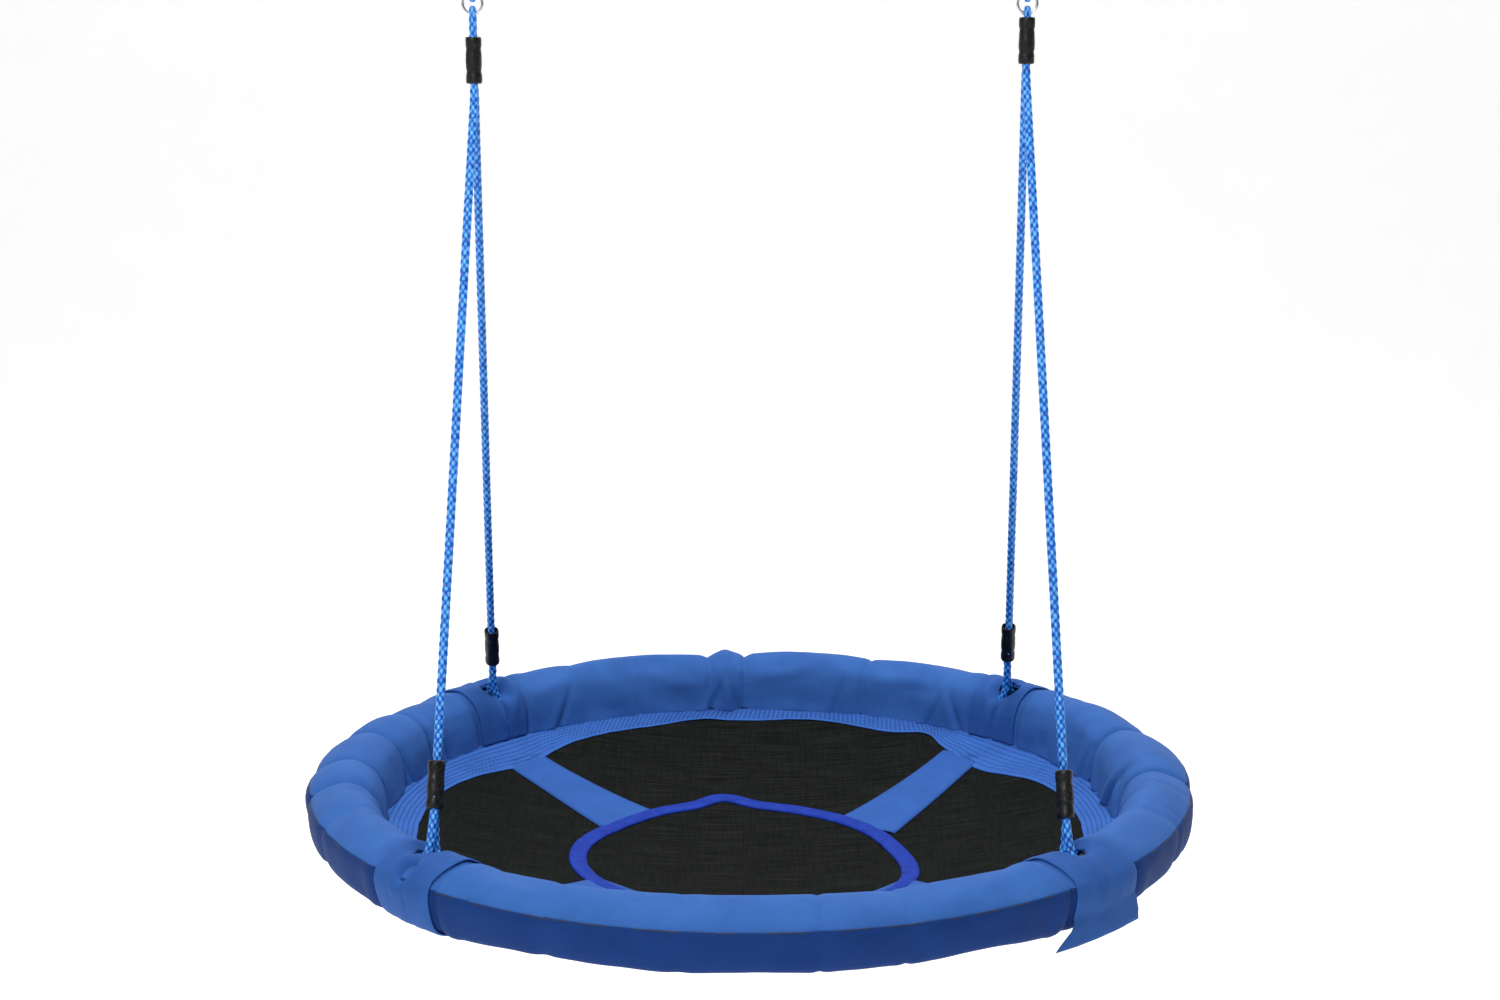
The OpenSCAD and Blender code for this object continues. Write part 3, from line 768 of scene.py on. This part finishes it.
def relief(line, along, angle, seam_at, foot_at, before):
    """How far the cloth stands out of the plain outline, at each row and each angle in degrees.
    before is the length of the outline in front of this panel."""
    phi = np.radians(angle)
    radius = RIM_R + line[:, 0][:, None]
    x, y = radius * np.cos(phi), radius * np.sin(phi)
    z = line[:, 1][:, None] + 0 * x
    body = np.clip(np.abs(along - seam_at) / (26 * MM), 0, 1)[:, None]
    body = body * np.clip(np.abs(along - foot_at) / (30 * MM), 0, 1)[:, None]
    at_foot_of_top = before == 0
    out = 1.4 * MM * fbm(x, y, z, 0.17, 1) * (0.3 + 0.7 * body)
    # the padding swells between one pinch and the next
    angles = np.array(sorted(p[0] for p in PINCHES if p[1] >= 2.5))
    after = np.searchsorted(angles, angle % 360)
    start = angles[after - 1]
    span = (angles[after % len(angles)] - start) % 360
    share = ((angle - start) % 360) / span
    swell = np.sin(np.pi * share) ** 0.5
    out = out + 3.2 * MM * (swell - 0.75) * (0.6 + 0.4 * body)
    for first, last, height in LOBES:
        share = ((angle - first) % 360) / (last - first)
        out = out + height * MM * (np.sin(np.pi * np.clip(share, 0, 1)) ** 0.6 - 0.25 * (share < 1))
    # the two panels dip to their seam
    out = out - 2.0 * MM * np.exp(-(((along - seam_at) / (5 * MM)) ** 2))[:, None]
    for at, depth, width in PINCHES:
        off = gap(angle, at)
        waver = fbm(0 * x + at, z, 0 * x, 0.03, 4, 2) * 0.5
        out = out - depth * MM * np.exp(-((off + waver) / width) ** 2) * (0.7 + 0.3 * body)
    for at, lean, depth, width in FOOT_FOLDS:
        rise = np.abs(along - foot_at)[:, None] / (45 * MM)
        off = gap(angle, at + lean * rise)
        fade = np.exp(-rise ** 2) * (1 if at_foot_of_top else 0.4)
        out = out - depth * MM * np.exp(-(off / width) ** 2) * fade
        out = out + 0.6 * depth * MM * np.exp(-((off - 2 * width) / (1.5 * width)) ** 2) * fade
    # gathers that run across the rim, strongest at the foot and at the seam
    near_foot = np.exp(-np.abs(along - foot_at) / (20 * MM))[:, None]
    near_seam = np.exp(-np.abs(along - seam_at) / (8 * MM))[:, None]
    run = phi * RIM_R + 0 * x
    gathers = fbm(run, 0.25 * along[:, None] + 0 * x, 0 * x, 0.03, 3, 2)
    out = out + 1.2 * MM * gathers * near_foot + 0.8 * MM * gathers * near_seam
    # the wraps draw the cover in, and it stands up beside them
    for starts, stops, _ in WRAPS.values():
        first = np.interp(before + along, WRAP_PLACES, starts)[:, None]
        last = np.interp(before + along, WRAP_PLACES, stops)[:, None]
        for off in (first - 0.5 - angle, angle - last - 0.5):
            off = (off + 180) % 360 - 180
            out = out - 3.5 * MM * np.exp(-(off / 0.55) ** 2) \
                + 1.6 * MM * np.exp(-((off - 1.9) / 1.0) ** 2) * body
    for at, place, depth in WRAP_DIMPLES.values():
        reach = np.hypot(gap(angle, at) / 1.1, (before + along - place * MM)[:, None] / (13 * MM))
        out = out - depth * MM * np.exp(-reach ** 2)
    out = out - 3 * MM * rope_slits(line, angle)
    return out - 14 * MM * rope_mouths(line, angle) ** 1.2


def rim_rows(points, steps, at_start, before):
    """One panel of the cover before it is puffed: outline, normals, distances, angles and heights."""
    line, normal, along = outline(points, steps)
    seam_at, foot_at = (0, along[-1]) if at_start else (along[-1], 0)
    angle = np.linspace(0, 360, COLUMNS, endpoint=False)[None, :]
    out = relief(line, along, angle, seam_at, foot_at, before)
    return {"line": line, "normal": normal, "along": along, "angle": angle,
            "r": RIM_R + line[:, 0][:, None] + out * normal[:, 0][:, None],
            "z": SEAM_Z + line[:, 1][:, None] + out * normal[:, 1][:, None],
            "turn": np.radians(angle) + 0 * out}


def panel_points(panel):
    return np.stack([panel["r"] * np.cos(panel["turn"]), panel["r"] * np.sin(panel["turn"]), panel["z"]], -1)


PUFF_FRAMES = 12
PUFF_CAP = 6 * MM
PUFF_SHARE = 0.7
PUFF_COARSE = 3


def puffed(top, side):
    """The cover's two panels as one ring of cloth, a little too big for its seams, blown up from inside."""
    rows = np.r_[panel_points(top), panel_points(side)[1:-1]][:, ::PUFF_COARSE]
    count, columns = rows.shape[:2]
    faces = grid_faces(count, columns, wrap_rows=True, wrap_columns=True)
    piece = mesh_from("puff", rows.reshape(-1, 3), faces)
    seam_row = len(top["along"]) - 1
    pinned = np.zeros((count, columns), bool)
    pinned[[0, 1, seam_row, count - 1]] = True
    angle = top["angle"][0, ::PUFF_COARSE]
    for at, depth, _ in PINCHES:
        if depth >= 4:
            nearest = np.argmin(np.abs(gap(angle, at)))
            pinned[seam_row - 12:seam_row + 1, nearest] = True
    mouth = np.r_[rope_mouths(top["line"], top["angle"]),
                  np.zeros((count - len(top["along"]), COLUMNS))][:, ::PUFF_COARSE]
    pinned |= mouth > 0.25
    group = piece.vertex_groups.new(name="sewn")
    group.add([int(i) for i in np.flatnonzero(pinned.ravel())], 1.0, "REPLACE")
    cloth_sim = piece.modifiers.new("puff", "CLOTH")
    settings = cloth_sim.settings
    settings.quality = 4
    settings.mass = 0.25
    settings.tension_stiffness = 18
    settings.compression_stiffness = 12
    settings.shear_stiffness = 6
    settings.bending_stiffness = 3.0
    settings.tension_damping = 12
    settings.compression_damping = 12
    settings.shear_damping = 12
    settings.air_damping = 4
    settings.shrink_min = -0.012
    settings.use_pressure = True
    settings.uniform_pressure_force = 2.0
    settings.vertex_group_mass = "sewn"
    settings.effector_weights.gravity = 0
    cloth_sim.collision_settings.use_collision = False
    scene = bpy.context.scene
    cloth_sim.point_cache.frame_start, cloth_sim.point_cache.frame_end = 1, PUFF_FRAMES
    for number in range(1, PUFF_FRAMES + 1):
        scene.frame_set(number)
    shape = piece.evaluated_get(bpy.context.evaluated_depsgraph_get()).to_mesh()
    moved = np.empty(len(shape.vertices) * 3, np.float32)
    shape.vertices.foreach_get("co", moved)
    moved = moved.reshape(count, columns, 3).astype(float)
    scene.frame_set(1)
    bpy.data.objects.remove(piece)
    shift = moved - rows
    size = np.linalg.norm(shift, axis=-1, keepdims=True)
    shift *= PUFF_SHARE * np.minimum(size, PUFF_CAP) / np.maximum(size, 1e-9)
    for _ in range(3):
        shift = shift / 2 + (np.roll(shift, 1, 1) + np.roll(shift, -1, 1)) / 4
        shift[1:-1] = shift[1:-1] / 2 + (shift[:-2] + shift[2:]) / 4
    return shift


def spread(shift):
    """A coarse ring of shifts brought back to every column of the cover."""
    at = np.arange(COLUMNS) / PUFF_COARSE
    wrapped = np.concatenate([shift, shift[:, :1]], 1)
    low = np.floor(at).astype(int)
    part = (at - low)[None, :, None]
    return wrapped[:, low] * (1 - part) + wrapped[:, low + 1] * part


def apply_shift(panel, shift):
    points = panel_points(panel) + shift
    panel["r"] = np.hypot(points[..., 0], points[..., 1])
    panel["z"] = points[..., 2]
    panel["turn"] = panel["turn"] + (np.arctan2(points[..., 1], points[..., 0]) - panel["turn"]
                                     + math.pi) % (2 * math.pi) - math.pi


def make_rim_panels():
    top = rim_rows(OVER_TOP, TOP_STEPS, False, 0)
    side = rim_rows(ROUND_SIDE, SIDE_STEPS, True, top["along"][-1])
    shift = spread(puffed(top, side))
    rows = len(top["along"])
    apply_shift(top, shift[:rows])
    apply_shift(side, np.r_[shift[rows - 1:], shift[:1]])
    for panel in (top, side):
        panel["mouth"] = rope_mouths(panel["line"], panel["angle"])
    return top, side


def inset_panel(panel, depth, angle):
    """The panel's surface at other angles, and depth further in, as (rows, angles, 3)."""
    grid = panel["angle"][0]
    around = np.r_[grid - 360, grid, grid + 360]
    rows = []
    for i in range(len(panel["along"])):
        a = angle[i] if angle.ndim == 2 and len(angle) > 1 else angle.ravel()

        def at(values, turn=0):
            return np.interp(a, around, np.r_[values - turn, values, values + turn])
        r = at(panel["r"][i]) - depth[i] * panel["normal"][i, 0]
        z = at(panel["z"][i]) - depth[i] * panel["normal"][i, 1]
        phi = at(panel["turn"][i], 2 * math.pi)
        rows.append(np.stack([r * np.cos(phi), r * np.sin(phi), z], -1))
    return np.array(rows)


SEAM_OPENING = 1.3 * MM
SEAM_DEPTH = 6 * MM


def turned_in(points, at_start):
    """A panel with its seam edge drawn back a little, then turned in towards the foam."""
    if at_start:
        return turned_in(points[::-1], False)[::-1]
    back = points[-2] - points[-1]
    back /= np.linalg.norm(back, axis=-1, keepdims=True)
    edge = points[-1] + SEAM_OPENING * back
    inward = edge * np.array([-1, -1, 0])
    inward = inward / np.linalg.norm(inward, axis=-1, keepdims=True)
    return np.concatenate([points[:-1], [edge, edge + 1.2 * MM * inward, edge + SEAM_DEPTH * inward]])


def make_cover(top, side):
    for node, panel, slot in (("cover_top", top, "cover_blue"), ("cover_side", side, "cover_side_blue")):
        at_start = panel is side
        points = turned_in(panel_points(panel), at_start)
        extra = np.array([SEAM_OPENING, SEAM_DEPTH])
        along, mouth = panel["along"], panel["mouth"]
        if at_start:
            along = np.r_[-extra[::-1], along]
            mouth = np.r_[0 * mouth[:2], mouth]
        else:
            along = np.r_[along, along[-1] + extra]
            mouth = np.r_[mouth, 0 * mouth[:2]]
        faces = grid_faces(len(along), COLUMNS, wrap_columns=True, keep=mouth < MOUTH_EDGE)
        uvs = np.stack(np.broadcast_arrays(np.radians(panel["angle"]) * RIM_R, along[:, None]), -1)
        piece = mesh_from(node + "_cloth", points.reshape(-1, 3), faces, uvs.reshape(-1, 2), MATERIALS[slot])
        thicken(piece, 1.2 * MM)
        finish_piece(piece, "saucer", slot, node)


def make_seam(top):
    """The thread that closes the cover round its outer edge, coloured near-black navy as painted shade for the
    seam's groove.
    """
    line = panel_points(top)[-1]
    sides, radius = 6, 1.25 * MM
    out = line * np.array([1, 1, 0])
    out /= np.linalg.norm(out, axis=1, keepdims=True)
    centre = line - 0.5 * MM * out
    turn = 2 * math.pi * np.arange(sides) / sides
    points = (centre[None] + radius * (np.cos(turn)[:, None, None] * out[None]
                                       + np.sin(turn)[:, None, None] * np.array([0, 0, 1])))
    piece = mesh_from("cover_seam_painted_shade", points.reshape(-1, 3),
                      grid_faces(sides, COLUMNS, wrap_rows=True, wrap_columns=True),
                      material=MATERIALS["seam"])
    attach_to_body(piece, "saucer")


def make_foam(top, side):
    """Closed foam lengths between the ropes, a little inside the cover."""
    spans = {"foam_right": (-ATTACH_A, ATTACH_A), "foam_back": (ATTACH_A, 180 - ATTACH_A),
             "foam_left": (180 - ATTACH_A, 180 + ATTACH_A), "foam_front": (180 + ATTACH_A, 360 - ATTACH_A)}
    end_gap = 3.2
    for node, (start, stop) in spans.items():
        angle = np.linspace(start + end_gap, stop - end_gap, 160)[None, :]
        upper = inset_panel(top, np.full(len(top["along"]), FOAM_DEPTH), angle)[8:-1]
        lower = inset_panel(side, np.full(len(side["along"]), FOAM_DEPTH), angle)[1:-5]
        ring = np.concatenate([upper, lower])
        rows, columns = ring.shape[:2]
        faces = grid_faces(rows, columns, wrap_rows=True)
        for column in (0, columns - 1):
            cap = [i * columns + column for i in range(rows)]
            faces.append(tuple(cap if column else cap[::-1]))
        piece = mesh_from(node + "_pad", ring.reshape(-1, 3), faces, material=MATERIALS["foam"])
        finish_piece(piece, "saucer", "foam", node)


WRAP_LIFT = 2.4 * MM
WRAP_FOOT = 1
# folds that run along a wrap: their angles at its two ends, their depth and their half-width in degrees
WRAP_FOLDS = {
    "wrap_back_right": [(43.5, 42.6, 2.6, 0.5), (46, 45.6, 1.0, 0.5)],
    "wrap_back_left": [(136.2, 138.4, 2.6, 0.5), (134.4, 134.6, 1.0, 0.5)],
    "wrap_front_left": [(225.8, 226.2, 1.2, 0.35), (222.4, 223.6, 1.0, 0.6)],
    "wrap_front_right": [(316.8, 314.2, 2.0, 0.45), (319.2, 319.8, 0.8, 0.7)],
}
FLAP_DROPS = [(0.4, -36, 0.08), (0.9, -42, 0.25), (1.4, -48, 0.5), (1.8, -54, 0.78), (2.0, -59, 1)]
FLAP_SWING = -3.4
FASTENER_ROWS = slice(11, 16)


def make_wraps(top, side):
    columns = 84
    patches = []
    for seed, (node, (starts, stops, hangs)) in enumerate(WRAPS.items()):
        last_row = 9 if hangs else 17
        along = np.r_[top["along"][WRAP_FOOT:], top["along"][-1] + side["along"][1:last_row]]
        start = np.interp(along, WRAP_PLACES, starts)[:, None]
        stop = np.interp(along, WRAP_PLACES, stops)[:, None]
        across = np.linspace(0, 1, columns)[None, :]
        angle = start + (stop - start) * across
        upper = len(top["along"]) - WRAP_FOOT
        rest = len(side["along"]) - last_row
        points = np.concatenate([
            inset_panel(top, np.full(len(top["along"]), -WRAP_LIFT),
                        np.r_[np.repeat(angle[:1], WRAP_FOOT, 0), angle[:upper]])[WRAP_FOOT:],
            inset_panel(side, np.full(len(side["along"]), -WRAP_LIFT),
                        np.r_[angle[:1], angle[upper:], np.repeat(angle[-1:], rest, 0)])[1:last_row]])
        edge = np.exp(-np.minimum(across, 1 - across) / 0.03)
        run = angle * 8 * MM
        extra = (1.2 * fbm(run, along[:, None] * 0.35 + 0 * angle, 0 * angle + seed, 0.03, 30, 3)
                 + 0.9 * fbm(run, along[:, None] + 0 * angle, 0 * angle + seed, 0.07, 31, 2) + 0.5 * edge)
        share = ((along - along[0]) / (along[-1] - along[0]))[:, None]
        for first, last, depth, width in WRAP_FOLDS[node]:
            waver = 0.9 * fbm(0 * angle + first, along[:, None] + 0 * angle, 0 * angle, 0.05, 34, 2)
            off = angle - (first + (last - first) * share) + waver
            uneven = fbm(0 * angle + first, along[:, None] + 0 * angle, 0 * angle, 0.06, 35, 1)
            fade = np.clip(0.6 + 0.8 * uneven, 0, 1)
            extra = extra - depth * np.exp(-(off / width) ** 2) * fade
            extra = extra + 0.6 * depth * np.exp(-((off - 2.2 * width) / (1.5 * width)) ** 2) * fade
        at, place, depth = WRAP_DIMPLES[node]
        reach = np.hypot((angle - at) / 0.9, (along[:, None] - place * MM) / (11 * MM))
        dent = depth * np.exp(-reach ** 2)
        extra = np.maximum(extra + 0.5 * depth * np.exp(-((reach - 1.9) / 0.7) ** 2), -1.6) - dent
        extra = extra * MM
        normal = np.r_[top["normal"][WRAP_FOOT:], side["normal"][1:last_row]]
        phi = np.radians(angle)
        outwards = np.stack([normal[:, :1] * np.cos(phi), normal[:, :1] * np.sin(phi),
                             normal[:, 1:] + 0 * phi], -1)
        points = points + extra[..., None] * outwards
        mouth = rope_mouths(np.r_[top["line"][WRAP_FOOT:], side["line"][1:last_row]], angle)
        if hangs:
            rows, angles = [], []
            for out, drop, swing in FLAP_DROPS:
                turned = angle[-1] + FLAP_SWING * swing * (1 - across[0])
                turn = np.radians(turned)
                sway = 1.2 * MM * fbm(turn * 0.4, 0 * turn + drop * 0.01, 0 * turn, 0.03, 33, 2)
                r = RIM_R + (out + 2) * MM + sway
                rows.append(np.stack([r * np.cos(turn), r * np.sin(turn), SEAM_Z + drop * MM + 0 * r], -1))
                angles.append(turned)
            points = np.concatenate([points, rows])
            mouth = np.r_[mouth, np.zeros((len(rows), columns))]
            angle = np.r_[angle, angles]
            along = np.r_[along, along[-1] + 6 * MM * np.arange(1, len(rows) + 1)]
        faces = grid_faces(len(points), columns, keep=mouth < MOUTH_EDGE)
        uvs = np.stack([np.radians(angle) * RIM_R, along[:, None] + 0 * angle], -1).reshape(-1, 2)
        piece = mesh_from(node + "_cloth", points.reshape(-1, 3), faces, uvs, MATERIALS["wrap_blue"])
        thicken(piece, 1.4 * MM)
        finish_piece(piece, "saucer", "wrap_blue", node)
        patch = np.linspace(starts[-1] + 1, stops[-1] - 1, 30)[None, :]
        patches.append(inset_panel(side, np.full(len(side["along"]), -0.7 * MM), patch)[FASTENER_ROWS])
    rows = patches[0].shape[0]
    faces = []
    for k in range(len(patches)):
        faces += [tuple(i + k * rows * 30 for i in face) for face in grid_faces(rows, 30)]
    tape = mesh_from("wrap_fasteners_tape", np.concatenate(patches).reshape(-1, 3), faces,
                     material=MATERIALS["hook_tape"])
    thicken(tape, 0.5 * MM)
    finish_piece(tape, "saucer", "hook_tape", "wrap_fasteners")


# ---------------------------------------------------------------- mat

MAT_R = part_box("mat")[1].x
MAT_EDGE_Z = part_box("mat")[1].z
MAT_SAG = MAT_EDGE_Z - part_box("mat")[0].z - 2 * MM
BORDER_FOOT = np.array([RIM_R - 75 * MM, SEAM_Z - 45 * MM])
STITCH_LINES = 7


def dish_z(r):
    return MAT_EDGE_Z - MAT_SAG * (1 - np.minimum(r / MAT_R, 1.05) ** 2)


def mat_lift(x, y):
    """The mat's slight unevenness, from smooth noise."""
    return 1.6 * MM * fbm(x, y, 0 * x, 0.22, 12, 2)


# the stitched border's inner edge: its middle radius, how much wider it runs to the back and front,
# and its waves as angle, height and half-width; it is drawn in most at the four straps
EDGE_R = 381
EDGE_OVAL = 12
EDGE_WAVES = [(38, -30, 11), (56, 14, 4), (78, 9, 8), (99, 8, 6), (140, -26, 12), (224, -26, 9),
              (316, -26, 9)]
# the tape's middle line in the same way, with its ring set off towards the front left
TAPE_R = 182
TAPE_SHIFT = 22
TAPE_SHIFT_A = 225
TAPE_WAVES = [(100, 20, 9), (150, -8, 20), (320, 33, 28)]


def waves(bumps, angle):
    """The sum of smooth bumps round a circle, each an angle, a height and a half-width."""
    return sum(height * np.exp(-(gap(angle, at) / width) ** 2) for at, height, width in bumps)


def inner_edge(angle):
    phi = np.radians(angle)
    radius = EDGE_R + EDGE_OVAL * np.sin(phi) ** 2 + waves(EDGE_WAVES, angle)
    return radius * MM + 1.2 * MM * fbm(phi, 0 * phi, 0 * phi, 0.08, 14, 2)


def tape_line(angle):
    return (TAPE_R + TAPE_SHIFT * np.cos(np.radians(angle - TAPE_SHIFT_A)) + waves(TAPE_WAVES, angle)) * MM


def make_mat():
    rings, columns = 90, 240
    r = np.linspace(0, MAT_R + 32 * MM, rings)[1:, None]
    phi = np.linspace(0, 2 * math.pi, columns, endpoint=False)[None, :]
    x, y = r * np.cos(phi), r * np.sin(phi)
    z = dish_z(r) + mat_lift(x, y) * np.clip((MAT_R - r) / (40 * MM), 0, 1)
    points = np.stack([x, y, z], -1).reshape(-1, 3)
    centre = len(points)
    middle_z = float(dish_z(np.array(0.0))) + float(mat_lift(np.zeros(1), np.zeros(1))[0])
    points = np.r_[points, [[0, 0, middle_z]]]
    faces = grid_faces(rings - 1, columns, wrap_columns=True)
    faces += [(centre, (k + 1) % columns, k) for k in range(columns)]
    uvs = points[:, :2]
    piece = mesh_from("mat_mesh", points, faces, uvs, MATERIALS["mat_black"])
    thicken(piece, 1.6 * MM, 1.0)
    finish_piece(piece, "saucer", "mat_black", "mat")


def border_point(share, angle):
    """A point of the border's top, from its inner edge at 0 to the rim's foot at 1."""
    inner = inner_edge(angle)
    phi = np.radians(angle)
    r = inner + (BORDER_FOOT[0] - inner) * share
    # it lies on the mat's edge, then climbs to the rim's foot
    climb = np.clip((r - MAT_R) / (BORDER_FOOT[0] - MAT_R), 0, 1)
    flat = dish_z(np.minimum(r, MAT_R)) + 2.2 * MM
    z = flat + (BORDER_FOOT[1] - MAT_EDGE_Z - 2.2 * MM) * climb ** 1.2
    x, y = r * np.cos(phi), r * np.sin(phi)
    pucker = fbm(x, y, 0 * x, 0.018, 15, 2) * 0.7 + fbm(x, y, 0 * x, 0.06, 16, 2)
    lines = np.abs(((share * (STITCH_LINES + 1) + 0.5) % 1) - 0.5)
    groove = np.exp(-(lines / 0.13) ** 2)
    z = z + 0.8 * MM * pucker * np.clip(share * 6, 0.2, 1) - 0.55 * MM * groove
    return np.stack([x, y, z], -1)


def make_border():
    rows, columns = 8 * (STITCH_LINES + 1) + 1, 900
    share = np.linspace(0, 1, rows)[:, None]
    angle = np.linspace(0, 360, columns, endpoint=False)[None, :]
    points = border_point(share, angle)
    uvs = np.stack([np.radians(angle) * MAT_R + 0 * share, share * 45 * MM + 0 * angle], -1).reshape(-1, 2)
    piece = mesh_from("mat_border_cloth", points.reshape(-1, 3), grid_faces(rows, columns, wrap_columns=True),
                      uvs, MATERIALS["border_blue"])
    thicken(piece, 1.6 * MM, 1.0)
    finish_piece(piece, "saucer", "border_blue", "mat_border")


STITCH_LENGTH = 4.2 * MM
STITCH_PITCH = 6.0 * MM
STITCH_R = 0.42 * MM


def make_stitches():
    """Every stitch of the border's rows is a short rounded thread."""
    points, faces = [], []
    sides = 5
    for k in range(STITCH_LINES):
        share = (k + 1) / (STITCH_LINES + 1)
        count = int(2 * math.pi * (MAT_R + share * 45 * MM) / STITCH_PITCH)
        middle_angle = (np.arange(count) + 0.37 * k) * 360 / count
        half = 180 / count * STITCH_LENGTH / STITCH_PITCH
        offsets = [-1, -0.6, 0, 0.6, 1]
        sizes = [0.25, 0.9, 1.0, 0.9, 0.25]
        angles = middle_angle[:, None] + half * np.array(offsets)[None, :]
        centres = border_point(np.full((1, 1), share), angles.reshape(1, -1)).reshape(count, 5, 3)
        centres[..., 2] += 1.75 * MM
        for stitch, turn in zip(centres, angles):
            base = len(points)
            for centre, size, a in zip(stitch, sizes, np.radians(turn)):
                out = np.array([math.cos(a), math.sin(a), 0])
                for j in range(sides):
                    t = 2 * math.pi * j / sides
                    turned = math.cos(t) * out + math.sin(t) * np.array([0, 0, 1])
                    points.append(centre + STITCH_R * size * turned)
            for i in range(4):
                for j in range(sides):
                    n = (j + 1) % sides
                    faces.append((base + i * sides + j, base + i * sides + n,
                                  base + (i + 1) * sides + n, base + (i + 1) * sides + j))
            faces.append(tuple(base + j for j in range(sides))[::-1])
            faces.append(tuple(base + 4 * sides + j for j in range(sides)))
    piece = mesh_from("mat_border_stitches", points, faces, material=MATERIALS["stitch"])
    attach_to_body(piece, "saucer")


TAPE_W = 20 * MM


def make_tape():
    columns = 420
    angle = np.linspace(0, 360, columns, endpoint=False)
    r = tape_line(angle)
    phi = np.radians(angle)
    middle_line = np.stack([r * np.cos(phi), r * np.sin(phi)], 1)
    run = np.roll(middle_line, -1, 0) - np.roll(middle_line, 1, 0)
    run /= np.linalg.norm(run, axis=1)[:, None]
    across = np.stack([run[:, 1], -run[:, 0]], 1)
    share = np.array([-1, -0.96, -0.7, -0.35, 0, 0.35, 0.7, 0.96, 1])[:, None, None]
    flat = middle_line[None] + share * (TAPE_W / 2) * across[None]
    x, y = flat[..., 0], flat[..., 1]
    crown = np.array([0.2, 1.5, 2.3, 2.5, 2.55, 2.5, 2.3, 1.5, 0.2])[:, None] * MM
    z = dish_z(np.hypot(x, y)) + mat_lift(x, y) + crown + 0.35 * MM * fbm(x, y, 0 * x, 0.02, 18, 2)
    points = np.stack([x, y, z], -1).reshape(-1, 3)
    along = np.r_[0, np.cumsum(np.linalg.norm(np.diff(middle_line, axis=0), axis=1))]
    uvs = np.stack(np.broadcast_arrays(along[None, :], share[:, :, 0] * TAPE_W / 2), -1).reshape(-1, 2)
    piece = mesh_from("mat_tape_webbing", points, grid_faces(9, columns, wrap_columns=True), uvs,
                      MATERIALS["tape_blue"])
    thicken(piece, 0.6 * MM)
    finish_piece(piece, "saucer", "tape_blue", "mat_tape")


# each strap: the middle of its inner end and of its outer end
WEBS = {"web_back_right": ((140, 92), (260, 252)), "web_back_left": ((-144, 106), (-276, 236)),
        "web_front_left": ((-146, -134), (-262, -253)), "web_front_right": ((150, -142), (262, -253))}
WEB_OUTER_W = 60 * MM
WEB_INNER_W = 88 * MM


def make_webs():
    rows, columns = 50, 13
    for node, ends in WEBS.items():
        inner, outer = np.array(ends) * MM
        length = np.linalg.norm(outer - inner)
        run = (outer - inner) / length
        share = np.linspace(-8 * MM / length, 1 + 14 * MM / length, rows)[:, None]
        side = np.linspace(-1, 1, columns)[None, :]
        flare = np.clip(1 - share, 0, 1.1) ** 1.6
        width = (WEB_OUTER_W + (WEB_INNER_W - WEB_OUTER_W) * flare) / 2
        x = inner[0] + share * length * run[0] - side * width * run[1]
        y = inner[1] + share * length * run[1] + side * width * run[0]
        edge = np.clip((1 - np.abs(side)) / 0.08, 0.25, 1)
        z = dish_z(np.hypot(x, y)) + mat_lift(x, y) + 1.5 * MM * edge
        z = z + 0.5 * MM * fbm(x, y, 0 * x, 0.05, 19, 2) * edge
        z = np.where(share > 1, np.minimum(z, dish_z(np.hypot(x, y)) + 1.4 * MM), z)
        points = np.stack([x, y, z], -1).reshape(-1, 3)
        uvs = np.stack(np.broadcast_arrays(share * length, side * width), -1).reshape(-1, 2)
        piece = mesh_from(node + "_cloth", points, grid_faces(rows, columns), uvs, MATERIALS["web_blue"])
        thicken(piece, 0.9 * MM)
        finish_piece(piece, "saucer", "web_blue", node)


# ---------------------------------------------------------------- floor

def make_floor():
    half, flat_to, cove, height = 12.0, 3.5, 2.5, 9.0
    profile = [(-half, 0), (flat_to, 0)]
    profile += [(flat_to + cove * math.sin(a), cove * (1 - math.cos(a)))
                for a in np.radians(np.linspace(5, 90, 18))]
    profile.append((flat_to + cove, height))
    base = SEAM_Z - FLOOR_DROP
    points = [(x, y, base + z) for y, z in profile for x in (-half, half)]
    floor = mesh_from("floor", points, grid_faces(len(profile), 2), material=floor_material())


make_camera()
make_ropes()
paint_cad_nodes()
rim_top, rim_side = make_rim_panels()
make_foam(rim_top, rim_side)
make_seam(rim_top)
make_cover(rim_top, rim_side)
make_wraps(rim_top, rim_side)
make_mat()
make_border()
make_stitches()
make_tape()
make_webs()
make_floor()
make_light()
